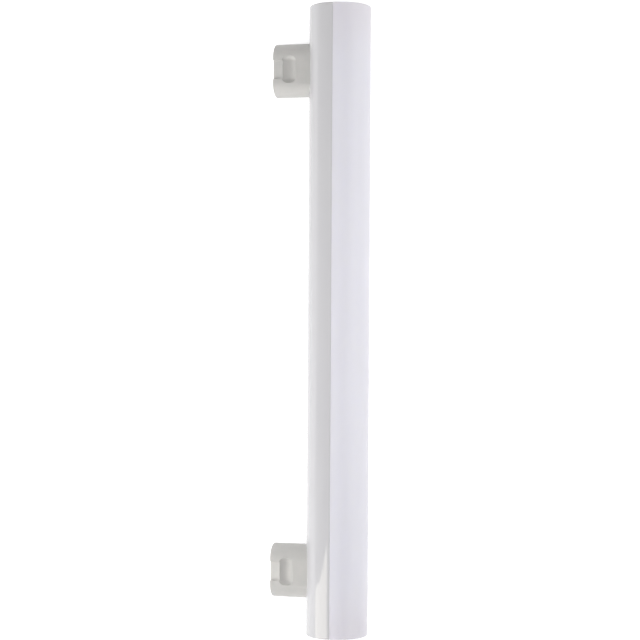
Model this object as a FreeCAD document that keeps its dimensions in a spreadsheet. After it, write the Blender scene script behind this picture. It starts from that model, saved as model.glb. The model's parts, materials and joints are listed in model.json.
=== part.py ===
import FreeCAD, Part
import math
import os
import Sketcher

# LED tube lamp with two side pegs, 300 mm long.
# The lamp's own frame: the tube's axis is Y, the pegs point to -X, the diffuser is the +X half.
# The two half shells meet in the plane X = 0. At the end every sub-part gets the same placement,
# which lays the lamp down as it rests on a table: on the tube and on the pegs' lower tip edges.

App = FreeCAD
doc = App.newDocument("tube_lamp")
sheet = doc.addObject("Spreadsheet::Sheet", "dims")

DIMENSIONS = {
    "tube_length": 300,
    "tube_diameter": 29.5,
    "shell_wall": 1.5,
    "end_wall": 2,
    "rim_round": 0.7,
    "seam_bevel": 0.15,
    "tongue_height": 1.2,
    "tongue_thickness": 0.65,
    "tongue_gap": 0.1,
    "peg_margin": 17.15,
    "peg_length": 25.7,
    "peg_width": 14,
    "peg_reach": 31.5,
    "peg_tip_wall": 2.2,
    "peg_side_wall": 1.8,
    "peg_tip_round": 0.5,
    "peg_gap": 0.15,
    "latch_from_tip": 4.6,
    "latch_chord": 6.8,
    "latch_span": 13.2,
    "latch_depth": 1.9,
    "latch_corner": 2.4,
    "latch_backing": 1.5,
    "lead_in_mouth": 9.2,
    "lead_in_throat": 8.4,
    "lead_in_depth": 1.7,
    "lead_in_shallow": 0.1,
    "overcut": 1,
    "flange_thickness": 1.6,
    "flange_margin": 1.5,
    "flange_ear": 6,
    "flange_gap": 0.2,
    "stake_diameter": 2,
    "stake_hole_gap": 0.1,
    "stake_head_extra": 0.7,
    "stake_head_height": 0.9,
    "contact_thickness": 0.4,
    "contact_width": 8,
    "contact_gap": 0.05,
    "contact_half_angle": 35,
    "contact_tail_rise": 2,
    "slit_gap": 0.2,
    "board_level": 2.6,
    "board_thickness": 1,
    "board_side_gap": 2,
    "board_end_gap": 1,
    "rail_reach": 3.2,
    "rail_thickness": 1.5,
    "led_count": 24,
    "led_margin": 3,
    "led_length": 3.5,
    "led_width": 2.8,
    "led_height": 0.8,
    "led_window_margin": 0.35,
    "led_window_depth": 0.1,
    "post_diameter": 5,
    "post_margin": 3.5,
    "post_gap": 14,
    "post_offset": 6,
    "screw_diameter": 2,
    "screw_gap": 0.05,
    "screw_length": 6,
    "screw_head_diameter": 4,
    "screw_head_height": 1.3,
    "screw_slot_width": 0.6,
    "screw_slot_length": 2.4,
    "screw_slot_depth": 0.6,
    "driver_length": 92,
    "driver_width": 13,
    "driver_thickness": 1,
    "driver_side_gap": 0.3,
    "driver_stake_inset": 8,
    "driver_stake_margin": 1.5,
    "driver_stake_diameter": 1.6,
    "rib_thickness": 1.2,
    "rib_width": 12,
    "tall_part_gap": 1.4,
    "input_can_length": 11,
    "output_can_length": 9,
    "can_groove_depth": 0.3,
    "can_groove_width": 0.9,
    "can_rim_width": 0.9,
    "can_leg_pitch": 2.5,
    "can_leg_stride": 1.5,
    "leg_thickness": 0.5,
    "fuse_leg_stride": 1.2,
    "chip_length": 4.9,
    "chip_width": 3.9,
    "chip_height": 1.5,
    "chip_bevel": 0.2,
    "bridge_length": 4.7,
    "bridge_width": 3.9,
    "bridge_height": 2.4,
    "diode_length": 4.3,
    "diode_width": 2.6,
    "diode_height": 2.1,
    "coil_diameter": 7,
    "coil_flange": 1.2,
    "coil_waist": 4.4,
    "fuse_length": 6.5,
    "fuse_diameter": 2.4,
    "fuse_cap_length": 1.3,
    "fuse_waist": 1.9,
    "fuse_offset": -3,
    "row_start": 6,
    "row_end": 9,
    "output_pad_inset": 5,
    "output_pad_offset": 2.6,
    "output_pad_spacing": 2,
    "output_lead_stride": 3,
    "output_lead_arch": 1.8,
    "mains_pad_inset": 2.5,
    "mains_pad_offset": -3,
    "mains_lead_rise": 0.3,
    "mains_lead_sway": -5,
    "mains_lead_diameter": 1.3,
    "output_lead_diameter": 1,
    "lead_hole_gap": 0.2,
}

for row, (alias, amount) in enumerate(DIMENSIONS.items(), start=1):
    sheet.set(f"A{row}", alias)
    sheet.set(f"B{row}", str(amount))
    sheet.setAlias(f"B{row}", alias)
doc.recompute()

# Sizes worked out from the sheet, written once and used by every piece that meets there.
HALF_LENGTH = "(dims.tube_length / 2)"
RADIUS = "(dims.tube_diameter / 2)"
INNER_RADIUS = f"({RADIUS} - dims.shell_wall)"
ROOM_LENGTH = "(dims.tube_length - 2 * dims.end_wall)"
PEG_Y = f"({HALF_LENGTH} - dims.peg_margin - dims.peg_length / 2)"

# The peg's flange lies flat on a seat in the housing, as deep as the round wall lets it go.
FLANGE_LENGTH = "(dims.peg_length + 2 * dims.flange_ear)"
FLANGE_WIDTH = "(dims.peg_width + 2 * dims.flange_margin)"
SEAT = f"sqrt({INNER_RADIUS}^2 - ({FLANGE_WIDTH} / 2 + dims.flange_gap)^2)"
FLANGE_TOP = f"({SEAT} - dims.flange_thickness)"
STAKE_Y = "((dims.peg_length + dims.flange_ear) / 2)"
CAVITY_HALF = "(dims.peg_width / 2 - dims.latch_depth - dims.latch_backing)"

# The latch recess is a scoop of one radius, given by its chord and its depth.
LATCH_X = "(dims.peg_reach - dims.latch_from_tip - dims.latch_chord / 2)"
LATCH_RADIUS = "((dims.latch_chord^2 / 4 + dims.latch_depth^2) / (2 * dims.latch_depth))"
LATCH_AXIS = f"(dims.peg_width / 2 - dims.latch_depth + {LATCH_RADIUS})"

# The lead-in groove is deep at the tip, rises towards the recess and runs out inside it.
LEAD_IN_END = "(dims.peg_reach - dims.latch_from_tip - dims.overcut)"

# The contact strip lines the scoop, and its tail enters the peg where the strip's middle line ends.
CONTACT_RADIUS = f"({LATCH_RADIUS} - dims.contact_gap - dims.contact_thickness / 2)"
SLIT_X = f"({LATCH_X} - {CONTACT_RADIUS} * sin(dims.contact_half_angle * 1 deg))"

# The LED board lies on two rails, and the driver board on ribs at the bottom of the housing.
BOARD_HALF = f"(sqrt({INNER_RADIUS}^2 - dims.board_level^2) - dims.board_side_gap)"
BOARD_LENGTH = f"({ROOM_LENGTH} - 2 * dims.board_end_gap)"
BOARD_TOP = "(dims.board_level - dims.board_thickness)"
LED_PITCH = f"(({BOARD_LENGTH} - 2 * dims.led_margin) / dims.led_count)"
RAIL_EDGE = f"(sqrt({INNER_RADIUS}^2 - dims.board_level^2) - dims.rail_reach)"
END_POST_Y = f"({BOARD_LENGTH} / 2 - dims.post_margin)"
MIDDLE_POST_Y = "(dims.driver_length / 2 + dims.post_gap)"
DRIVER_LEVEL = f"sqrt({INNER_RADIUS}^2 - (dims.driver_width / 2 + dims.driver_side_gap)^2)"
DRIVER_TOP = f"({DRIVER_LEVEL} - dims.driver_thickness)"
DRIVER_STAKE_Y = "(dims.driver_length / 2 - dims.driver_stake_inset)"
DRIVER_STAKE_Z = "(dims.driver_width / 2 - dims.driver_stake_margin)"
TALL_PART = f"({DRIVER_TOP} - dims.board_level - dims.tall_part_gap)"
OUTPUT_PAD_Y = "(dims.driver_length / 2 - dims.output_pad_inset)"
OUTPUT_LEADS = (("positive", "dims.output_pad_offset"),
                ("negative", "(dims.output_pad_offset + dims.output_pad_spacing)"))

ALONG_X = App.Rotation(App.Vector(0, 1, 0), 90)
ALONG_Y = App.Rotation(App.Vector(1, 0, 0), -90)

# Two levels this close, in mm, are the same plane.
SAME_PLANE = 1e-6

# A lead's bend starts this share of the shorter run away from its corner.
BEND_SHARE = 0.45


def number(expression):
    """The value of an expression of the sheet, as a plain number."""
    return float(sheet.evalExpression(str(expression)))


def rest_placement():
    """Lays the lamp down: it rests on the tube and on the lower tip edge of both pegs."""
    radius = number(RADIUS)
    tip_round = number("dims.peg_tip_round")
    arm = number("dims.peg_reach") - tip_round
    side = number("dims.peg_width / 2") - tip_round
    tilt = math.asin((radius - tip_round) / math.hypot(arm, side)) - math.atan2(side, arm)
    left = arm * math.cos(tilt) + side * math.sin(tilt) + tip_round
    turn = App.Rotation(App.Vector(0, 1, 0), -math.degrees(tilt))
    return App.Placement(App.Vector((left - radius) / 2, 0, radius), turn)


REST = rest_placement()
sub_parts = []


def finish(piece, label, y=0):
    """Names a sub-part, and moves it along the lamp and with it to its place at rest."""
    piece.Label = label
    piece.Placement = REST.multiply(App.Placement(App.Vector(0, y, 0), App.Rotation()))
    sub_parts.append(piece)


def finish_turned(piece, label, x, y, z=0):
    """The same for a piece turned about its own y axis, which then points along the lamp's x."""
    piece.Label = label
    upright = App.Placement(App.Vector(x, y, z), App.Rotation(App.Vector(0, 0, 1), -90))
    piece.Placement = REST.multiply(upright)
    sub_parts.append(piece)


def bind(item, sizes):
    """Ties properties of an object to expressions of the sheet."""
    for name, expression in sizes.items():
        item.setExpression(name, str(expression))


# Part primitives, each centred or started where its expressions say

def box(name, x, y, z, length, width, height):
    """A box with its low corner at x, y, z."""
    item = doc.addObject("Part::Box", name)
    bind(item, {"Length": length, "Width": width, "Height": height,
                "Placement.Base.x": x, "Placement.Base.y": y, "Placement.Base.z": z})
    return item


def rod(name, turn, radius, height, x="0", y="0", z="0"):
    """A cylinder that starts at x, y, z and runs along X or Y."""
    item = doc.addObject("Part::Cylinder", name)
    item.Placement = App.Placement(App.Vector(), turn)
    bind(item, {"Radius": radius, "Height": height,
                "Placement.Base.x": x, "Placement.Base.y": y, "Placement.Base.z": z})
    return item


def cut(name, base, tool):
    item = doc.addObject("Part::Cut", name)
    item.Base = base
    item.Tool = tool
    return item


def common(name, base, tool):
    item = doc.addObject("Part::Common", name)
    item.Base = base
    item.Tool = tool
    return item


def fuse(name, items):
    item = doc.addObject("Part::MultiFuse", name)
    item.Shapes = items
    return item


# Sketches and features inside a body

def plane_of(body, role):
    return next(item for item in body.Origin.OriginFeatures if item.Role == role)


def sketch_on(body, role, name, across="0", up="0", level="0"):
    """A sketch on one of the body's own planes, moved within the plane and along its normal."""
    sketch = body.newObject("Sketcher::SketchObject", f"{body.Name}_{name}")
    sketch.AttachmentSupport = (plane_of(body, role), [""])
    sketch.MapMode = "FlatFace"
    bind(sketch, {"AttachmentOffset.Base.x": across, "AttachmentOffset.Base.y": up,
                  "AttachmentOffset.Base.z": level})
    return sketch


def constrain(sketch, name, expression, *reference):
    """A named driving constraint, bound to the sheet."""
    kind, *geometry = reference
    index = sketch.addConstraint(Sketcher.Constraint(kind, *geometry, number(expression)))
    sketch.renameConstraint(index, name)
    sketch.setExpression(f"Constraints.{name}", str(expression))


def rectangle(sketch, width, height):
    """A rectangle centred on the sketch's origin."""
    half_w = number(width) / 2
    half_h = number(height) / 2
    corners = [App.Vector(-half_w, -half_h), App.Vector(half_w, -half_h),
               App.Vector(half_w, half_h), App.Vector(-half_w, half_h)]
    for start, end in zip(corners, corners[1:] + corners[:1]):
        sketch.addGeometry(Part.LineSegment(start, end))
    for side in range(4):
        sketch.addConstraint(Sketcher.Constraint("Coincident", side, 2, (side + 1) % 4, 1))
        direction = "Horizontal" if side % 2 == 0 else "Vertical"
        sketch.addConstraint(Sketcher.Constraint(direction, side))
    sketch.addConstraint(Sketcher.Constraint("Symmetric", 0, 1, 2, 1, -1, 1))
    constrain(sketch, "width", width, "DistanceX", 0, 1, 0, 2)
    constrain(sketch, "height", height, "DistanceY", 1, 1, 1, 2)


def oblong(sketch, length, width):
    """A slot outline centred on the sketch's origin, with its long side along the sketch's x."""
    radius = number(width) / 2
    reach = number(length) / 2 - radius
    quarter = math.pi / 2
    normal = App.Vector(0, 0, 1)
    right = Part.Circle(App.Vector(reach, 0), normal, radius)
    left = Part.Circle(App.Vector(-reach, 0), normal, radius)
    sketch.addGeometry(Part.LineSegment(App.Vector(-reach, -radius), App.Vector(reach, -radius)))
    sketch.addGeometry(Part.ArcOfCircle(right, -quarter, quarter))
    sketch.addGeometry(Part.LineSegment(App.Vector(reach, radius), App.Vector(-reach, radius)))
    sketch.addGeometry(Part.ArcOfCircle(left, quarter, 3 * quarter))
    for start, end in ((0, 1), (1, 2), (2, 3), (3, 0)):
        sketch.addConstraint(Sketcher.Constraint("Tangent", start, 2, end, 1))
    sketch.addConstraint(Sketcher.Constraint("Symmetric", 1, 3, 3, 3, -1, 1))
    sketch.addConstraint(Sketcher.Constraint("Horizontal", 0))
    constrain(sketch, "radius", f"{width} / 2", "Radius", 1)
    constrain(sketch, "straight", f"{length} - {width}", "DistanceX", 0, 1, 0, 2)


def circle(sketch, diameter):
    """A circle on the sketch's origin."""
    sketch.addGeometry(Part.Circle(App.Vector(), App.Vector(0, 0, 1), number(diameter) / 2))
    sketch.addConstraint(Sketcher.Constraint("Coincident", 0, 3, -1, 1))
    constrain(sketch, "diameter", diameter, "Diameter", 0)


def turned_outline(sketch, steps):
    """A stepped half section beside the sketch's y axis: steps of (radius, height) from the bottom."""
    points = [App.Vector(0, 0)]
    level = 0.0
    for radius, height in steps:
        points.append(App.Vector(number(radius), level))
        level += number(height)
        points.append(App.Vector(number(radius), level))
    points.append(App.Vector(0, level))
    for start, end in zip(points, points[1:] + points[:1]):
        sketch.addGeometry(Part.LineSegment(start, end))
    sides = len(points)
    for side in range(sides):
        sketch.addConstraint(Sketcher.Constraint("Coincident", side, 2, (side + 1) % sides, 1))
        direction = "Horizontal" if side % 2 == 0 else "Vertical"
        sketch.addConstraint(Sketcher.Constraint(direction, side))
    sketch.addConstraint(Sketcher.Constraint("Coincident", 0, 1, -1, 1))
    for step, (radius, height) in enumerate(steps):
        side = 2 * step + 1
        constrain(sketch, f"radius_{step}", radius, "DistanceX", -1, 1, side, 1)
        constrain(sketch, f"height_{step}", height, "DistanceY", side, 1, side, 2)


def pad(body, sketch, length, name):
    feature = body.newObject("PartDesign::Pad", f"{body.Name}_{name}")
    feature.Profile = sketch
    bind(feature, {"Length": length})
    doc.recompute()
    return feature


def pocket(body, sketch, length, name, along_normal=False):
    """Cuts a sketch's outline away, and makes sure that something was cut."""
    before = body.Shape.Volume
    feature = body.newObject("PartDesign::Pocket", f"{body.Name}_{name}")
    feature.Profile = sketch
    feature.Reversed = along_normal
    bind(feature, {"Length": length})
    doc.recompute()
    if body.Shape.Volume >= before:
        raise RuntimeError(f"{feature.Name} cuts nothing")
    return feature


def revolve(body, sketch, name):
    """Turns a half section about its sketch's y axis."""
    feature = body.newObject("PartDesign::Revolution", f"{body.Name}_{name}")
    feature.Profile = sketch
    feature.ReferenceAxis = (sketch, ["V_Axis"])
    feature.Angle = 360
    doc.recompute()
    return feature


def edges_in_plane(shape, axis, level):
    """The numbers of a shape's edges that lie in the plane where this axis has this level."""
    found = []
    for index, edge in enumerate(shape.Edges, start=1):
        low = getattr(edge.BoundBox, f"{axis}Min")
        high = getattr(edge.BoundBox, f"{axis}Max")
        if max(abs(low - level), abs(high - level)) < SAME_PLANE:
            found.append(index)
    return found


def edge_names(shape, axis, level):
    """The same edges, named as a PartDesign feature takes them."""
    return [f"Edge{index}" for index in edges_in_plane(shape, axis, level)]


# The two half shells

def shell_blank(name, side):
    """A solid half cylinder on one side of X = 0, with rounded rims and a bevelled seam edge."""
    half = doc.addObject("Part::Cylinder", f"{name}_half")
    axis = App.Vector(0, 1, 0)
    outward = App.Vector(side, 0, 0)
    half.Placement = App.Placement(App.Vector(), App.Rotation(outward.cross(axis), outward, axis, "ZYX"))
    half.Angle = 180
    bind(half, {"Radius": RADIUS, "Height": "dims.tube_length", "Placement.Base.y": f"-{HALF_LENGTH}"})
    doc.recompute()

    rim_round = number("dims.rim_round")
    rims = []
    for index, edge in enumerate(half.Shape.Edges, start=1):
        if isinstance(edge.Curve, Part.Circle):
            rims.append((index, rim_round, rim_round))
    rounded = doc.addObject("Part::Fillet", f"{name}_rims")
    rounded.Base = half
    rounded.Edges = rims
    doc.recompute()

    bevel = number("dims.seam_bevel")
    bevelled = doc.addObject("Part::Chamfer", f"{name}_seam")
    bevelled.Base = rounded
    bevelled.Edges = [(index, bevel, bevel) for index in edges_in_plane(rounded.Shape, "X", 0)]
    return bevelled


def room(name, growth="0"):
    """The hollow inside both shells, or the same grown outward by some amount."""
    return rod(name, ALONG_Y, f"{INNER_RADIUS} + ({growth})", f"{ROOM_LENGTH} + 2 * ({growth})",
               y=f"-{ROOM_LENGTH} / 2 - ({growth})")


def seam_slab(name, depth):
    """The layer behind the seam plane, on the housing's side, that a tongue or its rebate takes."""
    return box(name, f"-({depth})", f"-{HALF_LENGTH}", f"-{RADIUS}", depth, "dims.tube_length",
               "dims.tube_diameter")


def oblong_block(name, length, width, level, y):
    """An oblong prism along X, from beyond the wall up to this level."""
    span = f"({RADIUS} - {level})"
    straight = box(f"{name}_straight", f"-{RADIUS}", f"{y} - ({length} - {width}) / 2", f"-{width} / 2",
                   span, f"{length} - {width}", width)
    ends = []
    for place, sign in (("a", "-"), ("b", "+")):
        ends.append(rod(f"{name}_{place}", ALONG_X, f"{width} / 2", span, x=f"-{RADIUS}",
                        y=f"{y} {sign} ({length} - {width}) / 2"))
    return fuse(name, [straight] + ends)


def stake(name, diameter, top, y, z):
    """A heat stake: a pin through the piece it holds, with a wider flat head above it."""
    pin = rod(f"{name}_pin", ALONG_X, f"{diameter} / 2", f"{RADIUS} - {top}", x=f"-{RADIUS}", y=y, z=z)
    head = rod(f"{name}_head", ALONG_X, f"{diameter} / 2 + dims.stake_head_extra", "dims.stake_head_height",
               x=f"-{top}", y=y, z=z)
    return fuse(name, [pin, head])


def diffuser():
    """The opal half, with a tongue all round its edge that enters the housing's rebate."""
    shell = cut("diffuser_shell", shell_blank("diffuser", 1), room("diffuser_room"))
    grown = room("tongue_outside", "dims.tongue_thickness")
    frame = cut("tongue_frame", grown, room("tongue_inside"))
    tongue = common("tongue", frame, seam_slab("tongue_layer", "dims.tongue_height"))
    finish(fuse("diffuser", [shell, tongue]), "diffuser")


def housing_fittings():
    """What stands in the housing's room: rails, seats with stakes, posts, and ribs with stakes."""
    items = []
    for side, low in (("left", f"-{RADIUS}"), ("right", RAIL_EDGE)):
        items.append(box(f"rail_{side}", "-dims.board_level - dims.rail_thickness", f"-{HALF_LENGTH}", low,
                         "dims.rail_thickness", "dims.tube_length", f"{RADIUS} - {RAIL_EDGE}"))

    for end, sign in (("low", "-"), ("high", "")):
        centre = f"{sign}{PEG_Y}"
        items.append(oblong_block(f"seat_{end}", FLANGE_LENGTH, FLANGE_WIDTH, SEAT, centre))
        for place, offset in (("outer", f"-{STAKE_Y}"), ("inner", f"+ {STAKE_Y}")):
            items.append(stake(f"peg_stake_{end}_{place}", "dims.stake_diameter", FLANGE_TOP,
                               f"{centre} {offset}", "0"))

        items.append(rod(f"end_post_{end}", ALONG_X, "dims.post_diameter / 2",
                         f"{RADIUS} - dims.board_level", x=f"-{RADIUS}", y=f"{sign}{END_POST_Y}"))
        items.append(rod(f"middle_post_{end}", ALONG_X, "dims.post_diameter / 2",
                         f"{RADIUS} - dims.board_level", x=f"-{RADIUS}",
                         y=f"{sign}{MIDDLE_POST_Y}", z="dims.post_offset"))

    for end, sign, other in (("low", "-", ""), ("high", "", "-")):
        items.append(box(f"rib_{end}", f"-{RADIUS}", f"{sign}{DRIVER_STAKE_Y} - dims.rib_thickness / 2",
                         "-dims.rib_width / 2", f"{RADIUS} - {DRIVER_LEVEL}", "dims.rib_thickness",
                         "dims.rib_width"))
        items.append(stake(f"driver_stake_{end}", "dims.driver_stake_diameter", DRIVER_TOP,
                           f"{sign}{DRIVER_STAKE_Y}", f"{other}{DRIVER_STAKE_Z}"))
    items.append(box("rib_middle", f"-{RADIUS}", "-dims.rib_thickness / 2", "-dims.rib_width / 2",
                     f"{RADIUS} - {DRIVER_LEVEL}", "dims.rib_thickness", "dims.rib_width"))
    return fuse("housing_fittings", items)


def rear_housing():
    """The white half: its room is the bore less the fittings that stand in it."""
    hollow = cut("housing_hollow", room("housing_room"), housing_fittings())
    shell = cut("housing_shell", shell_blank("housing", -1), hollow)
    rebate = common("rebate", room("rebate_outside", "dims.tongue_thickness + dims.tongue_gap"),
                    seam_slab("rebate_layer", "dims.tongue_height + dims.tongue_gap"))
    openings = []
    for end, sign in (("low", "-"), ("high", "")):
        openings.append(oblong_block(f"peg_opening_{end}", "(dims.peg_length + 2 * dims.peg_gap)",
                                     "(dims.peg_width + 2 * dims.peg_gap)", SEAT, f"{sign}{PEG_Y}"))
        for place, y, z in (("end", END_POST_Y, "0"), ("middle", MIDDLE_POST_Y, "dims.post_offset")):
            depth = "(dims.screw_length - dims.board_thickness + dims.overcut)"
            openings.append(rod(f"pilot_{place}_{end}", ALONG_X, "dims.screw_diameter / 2 + dims.screw_gap",
                                depth, x=f"-dims.board_level - {depth}", y=f"{sign}{y}", z=z))
    finish(cut("rear_housing", shell, fuse("housing_cuts", [rebate] + openings)), "rear_housing")


# The side pegs and their contacts

def base_peg(label, y):
    """A hollow oblong peg with a flange inside the tube, and on both flat sides a scooped latch
    recess with a tapered lead-in groove that runs to it from the tip."""
    body = doc.addObject("PartDesign::Body", label)

    outline = sketch_on(body, "YZ_Plane", "outline", level="-dims.peg_reach")
    oblong(outline, "dims.peg_length", "dims.peg_width")
    post = pad(body, outline, f"dims.peg_reach - {SEAT}", "post")

    tip_edges = body.newObject("PartDesign::Fillet", f"{label}_tip_edges")
    tip_edges.Base = (post, edge_names(post.Shape, "X", -number("dims.peg_reach")))
    bind(tip_edges, {"Radius": "dims.peg_tip_round"})
    doc.recompute()

    flange_outline = sketch_on(body, "YZ_Plane", "flange_outline", level=f"-{SEAT}")
    oblong(flange_outline, FLANGE_LENGTH, FLANGE_WIDTH)
    pad(body, flange_outline, "dims.flange_thickness", "flange")

    cavity_outline = sketch_on(body, "YZ_Plane", "cavity_outline", level=f"-{FLANGE_TOP}")
    oblong(cavity_outline, "(dims.peg_length - 2 * dims.peg_side_wall)", f"(2 * {CAVITY_HALF})")
    pocket(body, cavity_outline, f"dims.peg_reach - dims.peg_tip_wall - {FLANGE_TOP}", "cavity")

    for place, sign in (("low", "-"), ("high", "")):
        hole = sketch_on(body, "YZ_Plane", f"stake_hole_{place}", across=f"{sign}{STAKE_Y}",
                         level=f"-{FLANGE_TOP}")
        circle(hole, "dims.stake_diameter + 2 * dims.stake_hole_gap")
        pocket(body, hole, "dims.flange_thickness", f"stake_cut_{place}")

    slit = sketch_on(body, "XY_Plane", "slit", across=f"-{SLIT_X}", level="-dims.peg_width / 2")
    rectangle(slit, "dims.contact_thickness + dims.slit_gap", "dims.contact_width + dims.slit_gap")
    pocket(body, slit, "dims.peg_width / 2", "slit_cut", along_normal=True)

    scoop_outline = sketch_on(body, "XY_Plane", "scoop_outline", across=f"-{LATCH_X}", level=LATCH_AXIS)
    rounded_drum(scoop_outline, LATCH_RADIUS, "dims.latch_span", "dims.latch_corner")
    scoop = body.newObject("PartDesign::Groove", f"{label}_scoop")
    scoop.Profile = scoop_outline
    scoop.ReferenceAxis = (scoop_outline, ["V_Axis"])
    scoop.Angle = 360
    doc.recompute()

    mouth = lead_in_section(body, "mouth", "dims.peg_reach", "dims.lead_in_mouth", "dims.lead_in_depth")
    throat = lead_in_section(body, "throat", LEAD_IN_END, "dims.lead_in_throat", "dims.lead_in_shallow")
    lead_in = body.newObject("PartDesign::SubtractiveLoft", f"{label}_lead_in")
    lead_in.Profile = mouth
    lead_in.Sections = [throat]
    lead_in.Ruled = True
    doc.recompute()

    one_side = body.Shape.Volume
    other_side = body.newObject("PartDesign::Mirrored", f"{label}_other_side")
    other_side.Originals = [scoop, lead_in]
    other_side.MirrorPlane = (plane_of(body, "XY_Plane"), [""])
    body.Tip = other_side
    doc.recompute()
    if body.Shape.Volume >= one_side:
        raise RuntimeError("the second latch recess is missing")
    finish(body, label, y=y)


def lead_in_section(body, name, distance, width, depth):
    """The groove's section at some distance from the tube's axis, open through the flat side."""
    middle = f"dims.peg_width / 2 + (dims.overcut - {depth}) / 2"
    section = sketch_on(body, "YZ_Plane", name, up=middle, level=f"-{distance}")
    rectangle(section, width, f"{depth} + dims.overcut")
    return section


def rounded_drum(sketch, radius, span, corner):
    """Half the outline of a drum with rounded rims, beside the sketch's y axis."""
    reach = number(radius)
    half = number(span) / 2
    turn = number(corner)
    flat = reach - turn
    side = half - turn
    quarter = math.pi / 2
    normal = App.Vector(0, 0, 1)
    low = Part.Circle(App.Vector(flat, -side), normal, turn)
    high = Part.Circle(App.Vector(flat, side), normal, turn)
    sketch.addGeometry(Part.LineSegment(App.Vector(0, -half), App.Vector(flat, -half)))
    sketch.addGeometry(Part.ArcOfCircle(low, -quarter, 0))
    sketch.addGeometry(Part.LineSegment(App.Vector(reach, -side), App.Vector(reach, side)))
    sketch.addGeometry(Part.ArcOfCircle(high, 0, quarter))
    sketch.addGeometry(Part.LineSegment(App.Vector(flat, half), App.Vector(0, half)))
    sketch.addGeometry(Part.LineSegment(App.Vector(0, half), App.Vector(0, -half)))
    for start, end in ((0, 1), (1, 2), (2, 3), (3, 4)):
        sketch.addConstraint(Sketcher.Constraint("Tangent", start, 2, end, 1))
    for start, end in ((4, 5), (5, 0)):
        sketch.addConstraint(Sketcher.Constraint("Coincident", start, 2, end, 1))
    sketch.addConstraint(Sketcher.Constraint("Horizontal", 0))
    sketch.addConstraint(Sketcher.Constraint("Equal", 1, 3))
    sketch.addConstraint(Sketcher.Constraint("Symmetric", 5, 1, 5, 2, -1, 1))
    constrain(sketch, "corner", corner, "Radius", 1)
    constrain(sketch, "span", span, "DistanceY", 5, 2, 5, 1)
    constrain(sketch, "reach", f"{radius} - {corner}", "DistanceX", 0, 1, 0, 2)


def contact(label, y):
    """A bent metal strip: it lines the latch recess on the lower side of the peg, passes through
    the slit into the cavity, and its tail stands up above the flange."""
    thickness = number("dims.contact_thickness")
    radius = number(CONTACT_RADIUS)
    half_angle = math.radians(number("dims.contact_half_angle"))
    width = number("dims.contact_width")
    centre = App.Vector(-number(LATCH_X), -width / 2, -number(LATCH_AXIS))
    reach = App.Vector(radius * math.sin(half_angle), 0, radius * math.cos(half_angle))
    start = centre + App.Vector(-reach.x, 0, reach.z)
    bend = centre + reach
    middle = centre + App.Vector(0, 0, radius)
    tail_z = -number(CAVITY_HALF) + number("dims.contact_gap") + thickness / 2
    tail_end = -number(FLANGE_TOP) + number("dims.contact_tail_rise")
    corner = App.Vector(bend.x, bend.y, tail_z)
    path = Part.Wire([
        Part.Arc(start, middle, bend).toShape(),
        Part.LineSegment(bend, corner).toShape(),
        Part.LineSegment(corner, App.Vector(tail_end, corner.y, tail_z)).toShape(),
    ])
    strip = doc.addObject("Part::Feature", label)
    strip.Shape = strip_face(path, thickness).extrude(App.Vector(0, width, 0))
    finish(strip, label, y=y)


def strip_face(path, thickness):
    """The face between a flat path's two parallels, half a thickness to either side."""
    one = path.makeOffset2D(thickness / 2, 2, False, True)
    other = path.makeOffset2D(-thickness / 2, 2, False, True)
    first, second = one.OrderedVertexes, other.OrderedVertexes
    caps = [Part.LineSegment(first[0].Point, second[0].Point).toShape(),
            Part.LineSegment(first[-1].Point, second[-1].Point).toShape()]
    outline = Part.Wire(Part.__sortEdges__(one.Edges + other.Edges + caps))
    return Part.Face(outline)


# The LED board, its diodes and its screws

def led_board():
    """A long strip board with four screw holes and two lead holes."""
    body = doc.addObject("PartDesign::Body", "led_board")
    outline = sketch_on(body, "YZ_Plane", "outline", level="-dims.board_level")
    rectangle(outline, BOARD_LENGTH, f"2 * {BOARD_HALF}")
    pad(body, outline, "dims.board_thickness", "plate")
    for end, sign in (("low", "-"), ("high", "")):
        for place, y, z in (("end", END_POST_Y, "0"), ("middle", MIDDLE_POST_Y, "dims.post_offset")):
            hole = sketch_on(body, "YZ_Plane", f"{place}_hole_{end}", across=f"{sign}{y}", up=z,
                             level=f"-{BOARD_TOP}")
            circle(hole, "dims.screw_diameter + 4 * dims.screw_gap")
            pocket(body, hole, "dims.board_thickness", f"{place}_cut_{end}")
    for pole, z in OUTPUT_LEADS:
        hole = sketch_on(body, "YZ_Plane", f"lead_hole_{pole}", across=OUTPUT_PAD_Y, up=z,
                         level=f"-{BOARD_TOP}")
        circle(hole, "dims.output_lead_diameter + 2 * dims.lead_hole_gap")
        pocket(body, hole, "dims.board_thickness", f"lead_cut_{pole}")
    finish(body, "led_board")


def led(label, place):
    """One diode: a low package with a shallow window in its top."""
    y = f"({place} + 0.5 - dims.led_count / 2) * {LED_PITCH}"
    package = box(f"{label}_package", f"-{BOARD_TOP}", f"{y} - dims.led_length / 2", "-dims.led_width / 2",
                  "dims.led_height", "dims.led_length", "dims.led_width")
    window = box(f"{label}_window", f"-{BOARD_TOP} + dims.led_height - dims.led_window_depth",
                 f"{y} - dims.led_length / 2 + dims.led_window_margin",
                 "-dims.led_width / 2 + dims.led_window_margin", "dims.led_height",
                 "dims.led_length - 2 * dims.led_window_margin",
                 "dims.led_width - 2 * dims.led_window_margin")
    finish(cut(label, package, window), label)


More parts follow.
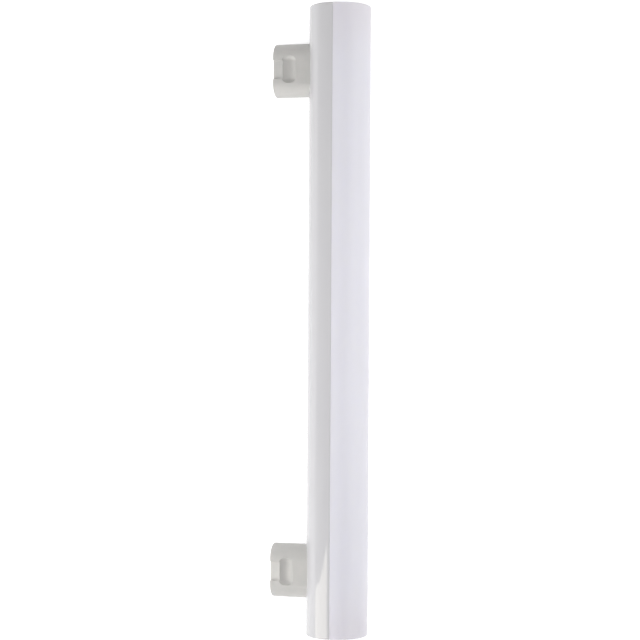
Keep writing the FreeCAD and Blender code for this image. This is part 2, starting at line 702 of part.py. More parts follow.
def board_screw(label, y, z):
    """A small pan-head screw with a cross slot. Its thread is left out."""
    body = doc.addObject("PartDesign::Body", label)
    section = sketch_on(body, "XY_Plane", "section")
    turned_outline(section, [("dims.screw_diameter / 2", "dims.screw_length"),
                             ("dims.screw_head_diameter / 2", "dims.screw_head_height")])
    turned = revolve(body, section, "turned")
    rim = edge_names(turned.Shape, "Y", number("dims.screw_length + dims.screw_head_height"))
    head_bevel = body.newObject("PartDesign::Chamfer", f"{label}_head_bevel")
    head_bevel.Base = (turned, rim)
    bind(head_bevel, {"Size": "dims.screw_head_height / 2"})
    doc.recompute()
    for name, width, height in (("slot", "dims.screw_slot_width", "dims.screw_slot_length"),
                                ("cross_slot", "dims.screw_slot_length", "dims.screw_slot_width")):
        slot = sketch_on(body, "XZ_Plane", name, level="-dims.screw_length - dims.screw_head_height")
        rectangle(slot, width, height)
        pocket(body, slot, "dims.screw_slot_depth", f"{name}_cut", along_normal=True)
    finish_turned(body, label, -number(BOARD_TOP) - number("dims.screw_length"), number(y), number(z))


# The driver board and the row of parts that stands on it, with equal gaps between them.
CAN_LEG_ROOM = "(dims.can_leg_stride + dims.leg_thickness / 2)"
DRIVER_ROW = [
    ("fuse_resistor", "(dims.fuse_length + 2 * dims.fuse_leg_stride + dims.leg_thickness)"),
    ("bridge_rectifier", "dims.bridge_length"),
    ("input_capacitor", f"(dims.input_can_length + {CAN_LEG_ROOM})"),
    ("driver_chip", "dims.chip_length"),
    ("inductor", "dims.coil_diameter"),
    ("output_capacitor", f"(dims.output_can_length + {CAN_LEG_ROOM})"),
    ("flyback_diode", "dims.diode_length"),
]


def place_in_row(label):
    """The middle of one part's stretch of the row, from the middle of the driver board."""
    taken = " + ".join(span for _, span in DRIVER_ROW)
    free = f"(dims.driver_length - dims.row_start - dims.row_end - ({taken}))"
    gap = f"({free} / {len(DRIVER_ROW) + 1})"
    place = "dims.row_start - dims.driver_length / 2"
    for name, span in DRIVER_ROW:
        if name == label:
            return f"({place} + {gap} + {span} / 2)"
        place += f" + {gap} + {span}"


def driver_board():
    body = doc.addObject("PartDesign::Body", "driver_board")
    outline = sketch_on(body, "YZ_Plane", "outline", level=f"-{DRIVER_LEVEL}")
    rectangle(outline, "dims.driver_length", "dims.driver_width")
    pad(body, outline, "dims.driver_thickness", "plate")
    for end, sign, other in (("low", "-", ""), ("high", "", "-")):
        hole = sketch_on(body, "YZ_Plane", f"stake_hole_{end}", across=f"{sign}{DRIVER_STAKE_Y}",
                         up=f"{other}{DRIVER_STAKE_Z}", level=f"-{DRIVER_TOP}")
        circle(hole, "dims.driver_stake_diameter + 2 * dims.stake_hole_gap")
        pocket(body, hole, "dims.driver_thickness", f"stake_cut_{end}")
    finish(body, "driver_board")


def chip(label, length, width, height):
    """A moulded block that lies flat on the driver board, with bevelled top edges."""
    body = doc.addObject("PartDesign::Body", label)
    outline = sketch_on(body, "YZ_Plane", "outline", level=f"-{DRIVER_TOP}")
    rectangle(outline, length, width)
    block = pad(body, outline, height, "block")
    bevel = body.newObject("PartDesign::Chamfer", f"{label}_bevel")
    bevel.Base = (block, edge_names(block.Shape, "X", number(f"-{DRIVER_TOP} + {height}")))
    bind(bevel, {"Size": "dims.chip_bevel"})
    doc.recompute()
    finish(body, label, y=number(place_in_row(label)))


def coil():
    """A drum-shaped inductor that stands on the driver board."""
    body = doc.addObject("PartDesign::Body", "inductor")
    section = sketch_on(body, "XY_Plane", "section")
    turned_outline(section, [("dims.coil_diameter / 2", "dims.coil_flange"),
                             ("dims.coil_waist / 2", f"{TALL_PART} - 2 * dims.coil_flange"),
                             ("dims.coil_diameter / 2", "dims.coil_flange")])
    revolve(body, section, "turned")
    finish_turned(body, "inductor", -number(DRIVER_TOP), number(place_in_row("inductor")))


def lying_part(label, place, offset, steps, leg_ends, leg_pitch, leg_stride):
    """A turned part that lies on the driver board, with square legs that turn down onto it.
    Its steps of (radius, height) run along the board from the part's lower end."""
    radius = max(number(step[0]) for step in steps)
    length = sum(number(step[1]) for step in steps)
    centre_x = -number(DRIVER_TOP) + radius
    start = number(place) - length / 2
    z = number(offset)
    solids = []
    level = start
    for step_radius, height in steps:
        centre = App.Vector(centre_x, level, z)
        solids.append(Part.makeCylinder(number(step_radius), number(height), centre, App.Vector(0, 1, 0)))
        level += number(height)

    thick = number("dims.leg_thickness")
    stride = number(leg_stride)
    foot_x = -number(DRIVER_TOP)
    spread = number(leg_pitch) / 2
    for end in leg_ends:
        face_y = start if end < 0 else level
        tip_y = face_y + end * stride
        for leg_z in sorted({z - spread, z + spread}):
            out_low = App.Vector(centre_x - thick / 2, min(face_y, tip_y), leg_z - thick / 2)
            down_low = App.Vector(foot_x, tip_y - thick / 2, leg_z - thick / 2)
            solids.append(Part.makeBox(thick, stride, thick, out_low))
            solids.append(Part.makeBox(radius + thick / 2, thick, thick, down_low))
    item = doc.addObject("Part::Feature", label)
    item.Shape = solids[0].multiFuse(solids[1:]).removeSplitter()
    finish(item, label)


def lying_can(label, length, end):
    """An electrolytic capacitor on its side: a can with a groove near the end with its legs."""
    can = f"({TALL_PART} / 2)"
    steps = [(can, f"{length} - dims.can_groove_width - dims.can_rim_width"),
             (f"{can} - dims.can_groove_depth", "dims.can_groove_width"),
             (can, "dims.can_rim_width")]
    if end < 0:
        steps.reverse()
    place = f"{place_in_row(label)} - {end} * {CAN_LEG_ROOM} / 2"
    lying_part(label, place, "0", steps, (end,), "dims.can_leg_pitch", "dims.can_leg_stride")


def fuse_resistor():
    """An axial resistor with bulged ends."""
    steps = [("dims.fuse_diameter / 2", "dims.fuse_cap_length"),
             ("dims.fuse_waist / 2", "dims.fuse_length - 2 * dims.fuse_cap_length"),
             ("dims.fuse_diameter / 2", "dims.fuse_cap_length")]
    lying_part("fuse_resistor", place_in_row("fuse_resistor"), "dims.fuse_offset", steps, (-1, 1), "0",
               "dims.fuse_leg_stride")


# The inner leads

def tube_along(points, radius, name):
    """A round tube along straight runs joined by tangent arcs."""
    parts = []
    radii = []
    length = 0.0
    start = points[0]
    for before, corner, after in zip(points, points[1:], points[2:]):
        back = before - corner
        onward = after - corner
        turn = math.pi - back.getAngle(onward)
        setback = BEND_SHARE * min(back.Length, onward.Length)
        bend = setback / math.tan(turn / 2)
        back.normalize()
        onward.normalize()
        arc_start = corner + back * setback
        arc_end = corner + onward * setback
        halfway = (back + onward).normalize()
        centre = corner + halfway * (bend / math.cos(turn / 2))
        parts.append(Part.makeCylinder(radius, start.distanceToPoint(arc_start), start, back * -1))
        disc = Part.Face(Part.Wire([Part.Circle(arc_start, back, radius).toShape()]))
        parts.append(disc.revolve(centre, onward.cross(back), math.degrees(turn)))
        length += start.distanceToPoint(arc_start) + bend * turn
        radii.append(bend)
        start = arc_end
    last = points[-1] - start
    parts.append(Part.makeCylinder(radius, last.Length, start, last))
    tube = parts[0].multiFuse(parts[1:]).removeSplitter()
    length += last.Length
    share = tube.Volume / (math.pi * radius ** 2 * length)
    bends = [round(bend, 1) for bend in radii]
    print(f"{name}: length {length:.1f}, radii {bends}, volume {share:.4f} of expected")
    return tube


def mains_lead(label, side):
    """From the inner face of a contact's tail, over the flange and past a post, to the end of the
    driver board, where it lies flat on its pad."""
    radius = number("dims.mains_lead_diameter / 2")
    peg_y = number(PEG_Y)
    post_y = number(MIDDLE_POST_Y)
    pad_y = number("dims.driver_length / 2 - dims.mains_pad_inset")
    tail_face = -number(CAVITY_HALF) + number("dims.contact_gap + dims.contact_thickness")
    high = -number(FLANGE_TOP) + number("dims.mains_lead_rise") + radius
    low = -number(DRIVER_TOP) + radius
    near = tail_face + radius
    sway = number("dims.mains_lead_sway")
    past_flange = peg_y - number(FLANGE_LENGTH) / 2
    points = [
        App.Vector(high, side * peg_y, near),
        App.Vector(high, side * (peg_y - number("dims.contact_width")), near),
        App.Vector(high, side * past_flange, (near + sway) / 2),
        App.Vector(high, side * (past_flange + post_y) / 2, sway),
        App.Vector((high + low) / 2, side * (post_y + pad_y) / 2, number("dims.mains_pad_offset") - radius),
        App.Vector(low, side * (pad_y + number("dims.mains_pad_inset")), number("dims.mains_pad_offset")),
        App.Vector(low, side * (pad_y - number("dims.mains_pad_inset")), number("dims.mains_pad_offset")),
    ]
    item = doc.addObject("Part::Feature", label)
    item.Shape = tube_along(points, radius, label)
    finish(item, label)


def output_lead(label, z):
    """From the driver board straight up through a hole in the LED board, and down onto its pad."""
    radius = number("dims.output_lead_diameter / 2")
    arch = -number(BOARD_TOP) + number("dims.output_lead_arch")
    start_y = number(OUTPUT_PAD_Y)
    end_y = start_y + number("dims.output_lead_stride")
    points = [
        App.Vector(-number(DRIVER_TOP), start_y, number(z)),
        App.Vector(arch, start_y, number(z)),
        App.Vector(arch, end_y, number(z)),
        App.Vector(-number(BOARD_TOP), end_y, number(z)),
    ]
    item = doc.addObject("Part::Feature", label)
    item.Shape = tube_along(points, radius, label)
    finish(item, label)


rear_housing()
diffuser()
for count, side in ((1, -1), (2, 1)):
    peg_y = side * number(PEG_Y)
    base_peg(f"base_peg_{count}", peg_y)
    contact(f"contact_{count}", peg_y)
    mains_lead(f"mains_lead_{count}", side)

led_board()
for place in range(int(number("dims.led_count"))):
    led(f"led_{place + 1:02d}", place)
screw_places = [(f"-{END_POST_Y}", "0"), (f"-{MIDDLE_POST_Y}", "dims.post_offset"),
                (MIDDLE_POST_Y, "dims.post_offset"), (END_POST_Y, "0")]
for count, (y, z) in enumerate(screw_places, start=1):
    board_screw(f"board_screw_{count}", y, z)

driver_board()
fuse_resistor()
chip("bridge_rectifier", "dims.bridge_length", "dims.bridge_width", "dims.bridge_height")
lying_can("input_capacitor", "dims.input_can_length", -1)
chip("driver_chip", "dims.chip_length", "dims.chip_width", "dims.chip_height")
coil()
lying_can("output_capacitor", "dims.output_can_length", 1)
chip("flyback_diode", "dims.diode_length", "dims.diode_width", "dims.diode_height")
for pole, z in OUTPUT_LEADS:
    output_lead(f"output_lead_{pole}", z)

doc.recompute()
for item in doc.Objects:
    if "Invalid" in item.State or "Error" in item.State:
        raise RuntimeError(f"{item.Name} failed: {item.State}")
for piece in sub_parts:
    if piece.Shape.isNull() or not piece.Shape.isValid():
        raise RuntimeError(f"{piece.Label} has no valid shape")
    if len(piece.Shape.Solids) != 1:
        raise RuntimeError(f"{piece.Label} is {len(piece.Shape.Solids)} solids")

os.makedirs("parts", exist_ok=True)
for piece in sub_parts:
    piece.Shape.exportStep(f"parts/{piece.Label}.step")
print(len(sub_parts), "sub-parts,", round(sum(piece.Shape.Volume for piece in sub_parts)), "cubic mm")
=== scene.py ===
# %% [markdown]
# # A tubular lamp with two side pegs
#
# The lamp is a closed plastic tube of two half shells. The white half holds the driver and the
# diodes, and the opal half lets their light out. Two hollow pegs carry it and bring the current in.
# It lies at rest on a white table and is seen from straight above.
#
# The solids come from the CAD model and stay where they are. This file gives them their finishes,
# light and camera.

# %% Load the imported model
import json
import math

import bpy
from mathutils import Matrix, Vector


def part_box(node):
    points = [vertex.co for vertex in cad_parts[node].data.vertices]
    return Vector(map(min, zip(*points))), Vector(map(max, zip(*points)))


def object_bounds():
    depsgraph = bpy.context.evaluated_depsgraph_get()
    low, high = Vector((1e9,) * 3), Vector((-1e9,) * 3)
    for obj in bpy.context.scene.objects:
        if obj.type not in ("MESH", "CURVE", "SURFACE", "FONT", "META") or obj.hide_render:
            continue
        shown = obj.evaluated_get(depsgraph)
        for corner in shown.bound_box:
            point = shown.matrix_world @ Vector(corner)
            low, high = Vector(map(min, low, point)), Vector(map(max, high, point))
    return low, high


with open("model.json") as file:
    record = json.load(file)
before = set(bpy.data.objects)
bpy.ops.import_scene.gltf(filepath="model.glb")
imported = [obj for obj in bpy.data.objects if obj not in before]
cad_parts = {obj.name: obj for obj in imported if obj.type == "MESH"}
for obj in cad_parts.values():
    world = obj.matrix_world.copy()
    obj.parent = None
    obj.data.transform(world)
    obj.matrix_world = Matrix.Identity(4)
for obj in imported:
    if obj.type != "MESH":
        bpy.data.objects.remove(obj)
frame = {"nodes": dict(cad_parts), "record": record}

cad_low, cad_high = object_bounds()
MM = 0.001
size_mm = [round(side / MM, 1) for side in cad_high - cad_low]
print("lamp as packed:", size_mm, "mm,", len(frame["nodes"]), "nodes")

# %% [markdown]
# ## The lamp's own axes
#
# The lamp rests on its tube and on the tips of its pegs, so it lies turned about the tube's axis.
# The direction of a peg gives that turn. Patterns that follow the lamp are turned by it too.

# %% Measure how the lamp lies
diffuser_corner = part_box("diffuser")[1]
tube_radius = diffuser_corner.z / 2
tube_end = diffuser_corner.y
axis_x = diffuser_corner.x - tube_radius
peg_direction = Vector(frame["record"]["mounts"][0]["axis"])
tilt = math.asin(-peg_direction.z)
print("tube radius", round(tube_radius / MM, 2), "mm, turned", round(math.degrees(tilt), 2), "degrees")

# %% [markdown]
# ## Colours and nodes
#
# A hex colour is how a designer writes a shade, and it is in sRGB. The shader wants linear light, so
# one function turns one into the other, with the numbers of the sRGB standard. A second function
# adds a node with its settings and links, which keeps each material short enough to read.

# %% Helpers for colours and nodes


def colour(hex_code):
    """Linear RGBA of an sRGB hex colour."""
    channels = []
    for start in (0, 2, 4):
        value = int(hex_code[start:start + 2], 16) / 255
        channels.append(value / 12.92 if value <= 0.04045 else ((value + 0.055) / 1.055) ** 2.4)
    return (*channels, 1.0)


def add_node(tree, kind, settings=None, inputs=None, links=None):
    """A new node: its own settings, plain values for its sockets, and links into them."""
    node = tree.nodes.new(kind)
    for name, value in (settings or {}).items():
        setattr(node, name, value)
    for socket, value in (inputs or {}).items():
        node.inputs[socket].default_value = value
    for socket, source in (links or {}).items():
        tree.links.new(source, node.inputs[socket])
    return node


# %% [markdown]
# ## Patterns and finishes
#
# No real surface is even. Its shade, its roughness and its height each vary a little, at a size that
# comes from how it was made. So every finish here starts as plain values with up to three patterns of
# noise on top, each with its grain in millimetres. One function builds them all and puts them on the
# pieces. It hands back what a finish needs that has a pattern of its own.

# %% Helpers for patterns and finishes
# Blender's noise seldom leaves the range from 0.3 to 0.7, so a pattern is stretched from there.
NOISE_LOW, NOISE_HIGH = 0.3, 0.7
# One shade turns into the other over a slightly shorter range, which leaves patches of both.
SHADE_LOW, SHADE_HIGH = 0.35, 0.65


def grain(tree, place, size_mm, detail=2.0, stretch=(1, 1, 1)):
    """Noise whose grains are about this many millimetres across, or longer where stretched."""
    mapped = add_node(tree, "ShaderNodeMapping",
                      inputs={"Rotation": (0, tilt, 0), "Scale": [1 / times for times in stretch]},
                      links={"Vector": place})
    noise = add_node(tree, "ShaderNodeTexNoise", inputs={"Scale": 1 / (size_mm * MM), "Detail": detail},
                     links={"Vector": mapped.outputs["Vector"]})
    return noise.outputs["Fac"]


def finish(pieces, name, plain, roughness, rough_grain, shades=None, shade_grain=None,
           relief_mm=None, relief_grain=None):
    """Gives CAD nodes a finish of plain values and patterns of its roughness, shade and relief."""
    material = bpy.data.materials.new(name)
    material.use_nodes = True
    tree = material.node_tree
    tree.nodes.clear()
    shader = add_node(tree, "ShaderNodeBsdfPrincipled", inputs=plain)
    add_node(tree, "ShaderNodeOutputMaterial", links={"Surface": shader.outputs["BSDF"]})
    place = add_node(tree, "ShaderNodeTexCoord").outputs["Object"]
    rough = add_node(tree, "ShaderNodeMapRange",
                     inputs={"From Min": NOISE_LOW, "From Max": NOISE_HIGH,
                             "To Min": roughness[0], "To Max": roughness[1]},
                     links={"Value": grain(tree, place, **rough_grain)})
    tree.links.new(rough.outputs["Result"], shader.inputs["Roughness"])
    if shades:
        ramp = add_node(tree, "ShaderNodeValToRGB", links={"Fac": grain(tree, place, **shade_grain)})
        for stop, position, shade in zip(ramp.color_ramp.elements, (SHADE_LOW, SHADE_HIGH), shades):
            stop.position = position
            stop.color = colour(shade)
        tree.links.new(ramp.outputs["Color"], shader.inputs["Base Color"])
    if relief_mm:
        relief = add_node(tree, "ShaderNodeBump", inputs={"Distance": relief_mm * MM},
                          links={"Height": grain(tree, place, **relief_grain)})
        tree.links.new(relief.outputs["Normal"], shader.inputs["Normal"])
    for piece in pieces:
        for slot in frame["nodes"][piece].material_slots:
            slot.material = material
    print(name, "on", ", ".join(pieces) if len(pieces) < 5 else f"{len(pieces)} pieces")
    return tree, shader, place


# %% [markdown]
# ## White housing: glossy polycarbonate
#
# The rear half is injection moulded in a polished tool. It mirrors the room softly, with a faint
# waviness that a moulded wall always has, and handling leaves patches that are a little duller.

# %% Glossy white polycarbonate
POLYCARBONATE_IOR = 1.585
finish(["rear_housing"], "polycarbonate_moulded_gloss_white", {"IOR": POLYCARBONATE_IOR},
       shades=("C6C5C8", "C9C8CA"), shade_grain={"size_mm": 40, "stretch": (1, 3, 1)},
       roughness=(0.03, 0.05), rough_grain={"size_mm": 18},
       relief_mm=0.003, relief_grain={"size_mm": 12, "detail": 1.0, "stretch": (1, 4, 1)})

# %% [markdown]
# ## Opal diffuser: satin polycarbonate
#
# The front half is filled with fine white pigment, so that light spreads inside the wall and the
# diodes don't show as points. A little subsurface scattering, 3 mm deep, gives that milky depth. The
# surface is satin, with faint lines along the tube, a little under 1 mm wide, from the way it was
# drawn out of the tool.

# %% Opal satin polycarbonate
tree, shader, place = finish(
    ["diffuser"], "polycarbonate_opal_satin",
    {"IOR": POLYCARBONATE_IOR, "Subsurface Weight": 0.35, "Subsurface Radius": (0.6, 0.6, 0.7),
     "Subsurface Scale": 3 * MM},
    shades=("DFDEE6", "E2E1E9"), shade_grain={"size_mm": 30, "stretch": (1, 5, 1)},
    roughness=(0.36, 0.44), rough_grain={"size_mm": 14},
    relief_mm=0.006, relief_grain={"size_mm": 0.8, "detail": 3.0, "stretch": (1, 30, 1)})

# %% [markdown]
# ## The diffuser's ends
#
# Over the last centimetres the diffuser is painted a little greyer towards its ends. This is painted
# shade that stands for the light falling off there, not a colour of the wall. The distance from the
# lamp's middle says how far along that is, and it mixes the painted end shade into the one that the
# finish has already.

# %% Greyer ends, a painted shade
GREYER_FROM = 120 * MM
# The sockets of a mix node share their names, so those for colours go by number.
MIX_A, MIX_B, MIX_RESULT = 6, 7, 2
lengthwise = add_node(tree, "ShaderNodeSeparateXYZ", links={"Vector": place}).outputs["Y"]
from_middle = add_node(tree, "ShaderNodeMath", {"operation": "ABSOLUTE"}, links={0: lengthwise})
towards_end = add_node(tree, "ShaderNodeMapRange", {"interpolation_type": "SMOOTHSTEP"},
                       {"From Min": GREYER_FROM, "From Max": tube_end},
                       {"Value": from_middle.outputs["Value"]})
opal = shader.inputs["Base Color"].links[0].from_socket
# DFDCE3 is painted shade at the diffuser's ends, standing for light that falls off there.
painted_end_shade = add_node(tree, "ShaderNodeMix", {"data_type": "RGBA"}, {MIX_B: colour("DFDCE3")},
                     {"Factor": towards_end.outputs["Result"], MIX_A: opal})
tree.links.new(painted_end_shade.outputs[MIX_RESULT], shader.inputs["Base Color"])
print("diffuser greyer over the last", round((tube_end - GREYER_FROM) / MM), "mm")

# %% [markdown]
# ## Pegs: satin polyester
#
# Lamp pegs are moulded in a heat-proof polyester, a warm light grey. The tool is spark eroded, which
# leaves a fine even grain. The real grain is about 0.1 mm, too fine to show, so it is drawn coarser.

# %% Satin grey polyester
POLYESTER_IOR = 1.57
finish(["base_peg_1", "base_peg_2"], "polyester_moulded_satin_grey", {"IOR": POLYESTER_IOR},
       shades=("C1C0BD", "C5C3C0"), shade_grain={"size_mm": 5},
       roughness=(0.40, 0.48), rough_grain={"size_mm": 3},
       relief_mm=0.05, relief_grain={"size_mm": 0.4})

# %% [markdown]
# ## The metal pieces
#
# The contacts are nickel-plated strip, rolled lengthwise and then bent, so they shine with fine
# lines along them. The real lines are too fine to show, so they are drawn 0.2 to 0.3 mm wide. The
# board screws are zinc plated, which is duller and more mottled.

# %% Nickel-plated strip and zinc-plated steel
ROLLED = (14, 1, 1)
finish(["contact_1", "contact_2"], "nickel_plated_strip",
       {"Metallic": 1.0, "Base Color": colour("C9C3B6")},
       roughness=(0.18, 0.34), rough_grain={"size_mm": 0.3, "stretch": ROLLED},
       relief_mm=0.004, relief_grain={"size_mm": 0.2, "stretch": ROLLED})
finish([f"board_screw_{count}" for count in (1, 2, 3, 4)], "zinc_plated_steel", {"Metallic": 1.0},
       shades=("B4B7BA", "C6C8C8"), shade_grain={"size_mm": 0.8},
       roughness=(0.30, 0.42), rough_grain={"size_mm": 0.6})

# %% [markdown]
# ## The diode board and the diodes
#
# The diode board is aluminium under white solder mask, a lacquer with a slight gloss. Each diode is
# a white package with a window of yellow phosphor gel. The diodes stand 12 mm apart, the first ones
# half of that from the lamp's middle, so one pattern along the tube colours all their windows.

# %% White solder mask
finish(["led_board"], "solder_mask_white_on_aluminium", {"Coat Weight": 0.3, "Coat Roughness": 0.2},
       shades=("E9E9E4", "EFEFEB"), shade_grain={"size_mm": 8},
       roughness=(0.32, 0.42), rough_grain={"size_mm": 2})

# %% Diodes with phosphor windows
LED_COUNT = 24
LED_PITCH = 12 * MM
WINDOW_HALF_LENGTH = 1.4 * MM
WINDOW_HALF_WIDTH = 1.05 * MM
tree, shader, place = finish(
    [f"led_{count:02d}" for count in range(1, LED_COUNT + 1)], "led_package_with_phosphor_window", {},
    roughness=(0.30, 0.40), rough_grain={"size_mm": 0.5})
centred = add_node(tree, "ShaderNodeMapping", {"vector_type": "TEXTURE"},
                   {"Location": (axis_x, LED_PITCH / 2, tube_radius), "Rotation": (0, -tilt, 0)},
                   {"Vector": place})
lamp_axes = add_node(tree, "ShaderNodeSeparateXYZ", links={"Vector": centred.outputs["Vector"]})
along = add_node(tree, "ShaderNodeMath", {"operation": "PINGPONG"}, {1: LED_PITCH / 2},
                 {0: lamp_axes.outputs["Y"]})
across = add_node(tree, "ShaderNodeMath", {"operation": "ABSOLUTE"}, links={0: lamp_axes.outputs["Z"]})
in_length = add_node(tree, "ShaderNodeMath", {"operation": "LESS_THAN"}, {1: WINDOW_HALF_LENGTH},
                     {0: along.outputs["Value"]})
in_width = add_node(tree, "ShaderNodeMath", {"operation": "LESS_THAN"}, {1: WINDOW_HALF_WIDTH},
                    {0: across.outputs["Value"]})
in_window = add_node(tree, "ShaderNodeMath", {"operation": "MULTIPLY"},
                     links={0: in_length.outputs["Value"], 1: in_width.outputs["Value"]})
package = add_node(tree, "ShaderNodeMix", {"data_type": "RGBA"},
                   {MIX_A: colour("EFEDE6"), MIX_B: colour("E8C64A")},
                   {"Factor": in_window.outputs["Value"]})
tree.links.new(package.outputs[MIX_RESULT], shader.inputs["Base Color"])

# %% [markdown]
# ## The driver board
#
# The driver board is fibreglass under green mask, through which its cloth shows as a faint weave. A
# brick pattern draws it. A brick is half a unit long and a quarter of a unit high, here 1 mm by
# 0.5 mm, which is coarser than the real threads, as those are too fine to show.

# %% Green fibreglass
WEAVE_UNIT = 2 * MM
tree, shader, place = finish(
    ["driver_board"], "fibreglass_board_green_mask", {"Coat Weight": 0.4, "Coat Roughness": 0.15},
    roughness=(0.30, 0.40), rough_grain={"size_mm": 1})
weave = add_node(tree, "ShaderNodeTexBrick",
                 inputs={"Scale": 1 / WEAVE_UNIT, "Mortar Size": 0.03, "Color1": colour("1E5A38"),
                         "Color2": colour("236340"), "Mortar": colour("194E31")},
                 links={"Vector": place})
tree.links.new(weave.outputs["Color"], shader.inputs["Base Color"])

# %% [markdown]
# ## The driver's parts and the leads
#
# Chips are pressed in black epoxy, which is matte. Capacitors wear a shrunk sleeve, which is smooth
# and a little wavy. The coil's drum is ferrite, a dark fired ceramic with a dull face. The fuse
# resistor is lacquered, so it shines, and the leads have soft insulation with a dull sheen. Each row
# below gives a finish: its name, its two shades, its lowest and highest roughness, its grain in
# millimetres and its pieces.

# %% Driver parts and leads
INNER_RELIEF_MM = 0.01
INNER_FINISHES = [
    ("epoxy_moulded_black", ("17181A", "1F2022"), (0.50, 0.62), 0.4,
     ["bridge_rectifier", "driver_chip", "flyback_diode"]),
    ("shrunk_sleeve_dark_blue", ("16203A", "1B2745"), (0.22, 0.32), 3.0,
     ["input_capacitor", "output_capacitor"]),
    ("ferrite_fired_grey", ("2A2827", "353332"), (0.60, 0.75), 0.5, ["inductor"]),
    ("lacquer_on_ceramic_blue", ("5F8AA0", "6C96AA"), (0.20, 0.30), 0.8, ["fuse_resistor"]),
    ("insulation_white", ("E2E1DC", "E8E7E3"), (0.42, 0.50), 2.0, ["mains_lead_1", "mains_lead_2"]),
    ("insulation_red", ("A31D16", "AE251C"), (0.42, 0.50), 2.0, ["output_lead_positive"]),
    ("insulation_black", ("141414", "1C1C1C"), (0.42, 0.50), 2.0, ["output_lead_negative"]),
]
for name, shades, roughness, grain_mm, pieces in INNER_FINISHES:
    one_grain = {"size_mm": grain_mm}
    finish(pieces, name, {}, shades=shades, shade_grain=one_grain, roughness=roughness,
           rough_grain=one_grain, relief_mm=INNER_RELIEF_MM, relief_grain=one_grain)

# %% [markdown]
# ## Table
#
# The lamp lies on a round white table, which catches a faint shadow and bounces light onto the lower
# sides. To the camera, and in anything glossy, it has a glow of its own that makes it white. It lies
# a hair below the lamp, because two faces in one plane would flicker.

# %% White table
WHITE = (1, 1, 1, 1)
TABLE_RADIUS = 0.6
TABLE_SIDES = 96
TABLE_DROP = 0.02 * MM
TABLE_GLOW = 0.62


def seen_by(tree, rays):
    """One for the named kinds of ray and zero for all others."""
    path = add_node(tree, "ShaderNodeLightPath")
    value = path.outputs[rays[0]]
    for kind in rays[1:]:
        value = add_node(tree, "ShaderNodeMath", {"operation": "MAXIMUM"},
                         links={0: value, 1: path.outputs[kind]}).outputs["Value"]
    return value


bpy.ops.object.select_all(action="DESELECT")
bpy.ops.mesh.primitive_circle_add(vertices=TABLE_SIDES, radius=TABLE_RADIUS, fill_type="NGON",
                                  location=(0, 0, -TABLE_DROP))
table = bpy.context.active_object
table.name = "table"
table_finish = bpy.data.materials.new("table_white_laminate")
table_finish.use_nodes = True
tree = table_finish.node_tree
tree.nodes.clear()
matte = add_node(tree, "ShaderNodeBsdfDiffuse", inputs={"Color": colour("F0F0F0")})
glow = add_node(tree, "ShaderNodeEmission", inputs={"Color": WHITE, "Strength": TABLE_GLOW})
glowing = add_node(tree, "ShaderNodeAddShader",
                   links={0: matte.outputs["BSDF"], 1: glow.outputs["Emission"]})
shows_white = seen_by(tree, ["Is Camera Ray", "Is Glossy Ray", "Is Transmission Ray"])
mixed = add_node(tree, "ShaderNodeMixShader",
                 links={0: shows_white, 1: matte.outputs["BSDF"], 2: glowing.outputs["Shader"]})
add_node(tree, "ShaderNodeOutputMaterial", links={"Surface": mixed.outputs["Shader"]})
table.data.materials.append(table_finish)
print("table", 2 * TABLE_RADIUS, "m across")

# %% [markdown]
# ## Light tent
#
# The table stands in a light tent. Its walls are white down at the table and fade towards its open
# top, where the camera looks in, so the top of the tube mirrors a darker patch. The two end walls
# are the brighter ones, the far one most of all. The camera always sees the walls as white.
#
# A direction's level part along the lamp, times its own size, runs from -1 at the near wall to 1 at
# the far one and is 0 at the sides. One range for each half turns that into the wall's brightness.

# %% Light tent
SIDE_WALLS = 0.58
FAR_WALL = 2.15
NEAR_WALL = 1.24
FADE_POWER = 2.0

world = bpy.data.worlds.new("light_tent")
bpy.context.scene.world = world
world.use_nodes = True
tree = world.node_tree
tree.nodes.clear()
direction = add_node(tree, "ShaderNodeTexCoord").outputs["Generated"]
towards = add_node(tree, "ShaderNodeSeparateXYZ", links={"Vector": direction})
below_top = add_node(tree, "ShaderNodeMath", {"operation": "SUBTRACT", "use_clamp": True}, {0: 1.0},
                     {1: towards.outputs["Z"]})
fade = add_node(tree, "ShaderNodeMath", {"operation": "POWER"}, {1: FADE_POWER},
                {0: below_top.outputs["Value"]})
level = add_node(tree, "ShaderNodeCombineXYZ",
                 links={"X": towards.outputs["X"], "Y": towards.outputs["Y"]})
bearing = add_node(tree, "ShaderNodeVectorMath", {"operation": "NORMALIZE"},
                   links={0: level.outputs["Vector"]})
endwise = add_node(tree, "ShaderNodeSeparateXYZ",
                   links={"Vector": bearing.outputs["Vector"]}).outputs["Y"]
endwise_size = add_node(tree, "ShaderNodeMath", {"operation": "ABSOLUTE"}, links={0: endwise})
to_end = add_node(tree, "ShaderNodeMath", {"operation": "MULTIPLY"},
                  links={0: endwise, 1: endwise_size.outputs["Value"]})
far_half = add_node(tree, "ShaderNodeMapRange", inputs={"To Min": SIDE_WALLS, "To Max": FAR_WALL},
                    links={"Value": to_end.outputs["Value"]})
near_half = add_node(tree, "ShaderNodeMapRange",
                     inputs={"From Max": -1.0, "To Min": SIDE_WALLS, "To Max": NEAR_WALL},
                     links={"Value": to_end.outputs["Value"]})
wall = add_node(tree, "ShaderNodeMath", {"operation": "MAXIMUM"},
                links={0: far_half.outputs["Result"], 1: near_half.outputs["Result"]})
walls = add_node(tree, "ShaderNodeMath", {"operation": "MULTIPLY"},
                 links={0: wall.outputs["Value"], 1: fade.outputs["Value"]})
strength = add_node(tree, "ShaderNodeMath", {"operation": "MAXIMUM"},
                    links={0: walls.outputs["Value"], 1: seen_by(tree, ["Is Camera Ray"])})
background = add_node(tree, "ShaderNodeBackground", inputs={"Color": WHITE},
                      links={"Strength": strength.outputs["Value"]})
add_node(tree, "ShaderNodeOutputWorld", links={"Surface": background.outputs["Background"]})
print("tent walls: sides", SIDE_WALLS, "far", FAR_WALL, "near", NEAR_WALL)

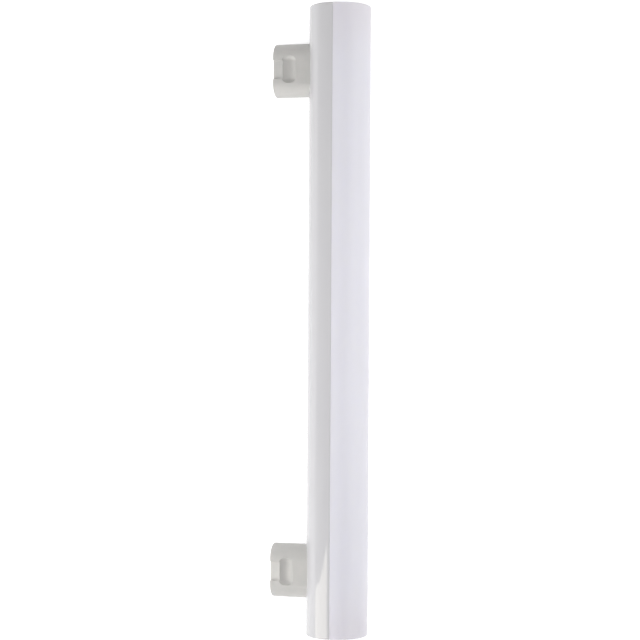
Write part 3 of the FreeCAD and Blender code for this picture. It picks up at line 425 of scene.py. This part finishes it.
# %% [markdown]
# ## Softboxes
#
# The housing mirrors one upright softbox near the lamp's near end, and the bright patch with a slanted
# start is its reflection. It stands for that reflection only. The others give the soft light, and of
# them the lamp mirrors only the one on the diffuser's side.

# %% Softboxes


def softbox(name, location, aim, width, height, power, lights=True, mirrored=True, shade="FFFFFF"):
    """An area lamp that faces a point, in metres and watts, which lights, is mirrored or both."""
    data = bpy.data.lights.new(name, "AREA")
    data.shape = "RECTANGLE"
    data.size = width
    data.size_y = height
    data.energy = power
    data.color = colour(shade)[:3]
    lamp = bpy.data.objects.new(name, data)
    lamp.location = location
    lamp.rotation_mode = "QUATERNION"
    lamp.rotation_quaternion = (Vector(aim) - Vector(location)).to_track_quat("-Z", "Y")
    lamp.visible_diffuse = lights
    lamp.visible_glossy = mirrored
    bpy.context.scene.collection.objects.link(lamp)
    print(name, power, "W at", location)


softbox("softbox_upright", location=(-0.5, -0.328, 0.315), aim=(0, -0.328, 0.315),
        width=0.25, height=0.55, power=1.42, lights=False, shade="FFFAEC")
softbox("softbox_left", location=(-0.75, -0.62, 0.45), aim=(0, -0.1, 0.05),
        width=0.8, height=0.9, power=7.24, mirrored=False)
softbox("softbox_right", location=(0.8, 0, 0.45), aim=(0, 0, 0), width=1.0, height=0.6, power=2.0)
softbox("fill_left_low", location=(-0.3, 0, 0.08), aim=(0, 0, 0.01),
        width=0.3, height=0.1, power=0.13, mirrored=False)
softbox("fill_right", location=(0.3, 0.04, 0.25), aim=(0, 0.04, 0),
        width=0.3, height=0.3, power=0.33, mirrored=False)
softbox("fill_overhead", location=(0, 0, 0.6), aim=(0, 0, 0),
        width=0.2, height=0.2, power=1.39, mirrored=False)

# %% [markdown]
# ## Camera
#
# The camera hangs 0.84 m above the table and looks straight down, turned by a third of a degree, as
# the far end of the tube leans that much in the picture. A long lens fills the frame from there.

# %% Camera
CAMERA_PLACE = (-0.00018, 0.00032, 0.84)
CAMERA_ROLL = 0.00595
LENS_MM = 97.16
SENSOR_MM = 36
camera_data = bpy.data.cameras.new("camera")
camera_data.lens = LENS_MM
camera_data.sensor_width = SENSOR_MM
camera = bpy.data.objects.new("camera", camera_data)
camera.location = CAMERA_PLACE
camera.rotation_euler = (0, 0, CAMERA_ROLL)
bpy.context.scene.collection.objects.link(camera)
bpy.context.scene.camera = camera
bpy.context.scene.view_settings.view_transform = "Standard"
print("camera at", CAMERA_PLACE, "with a lens of", LENS_MM, "mm")
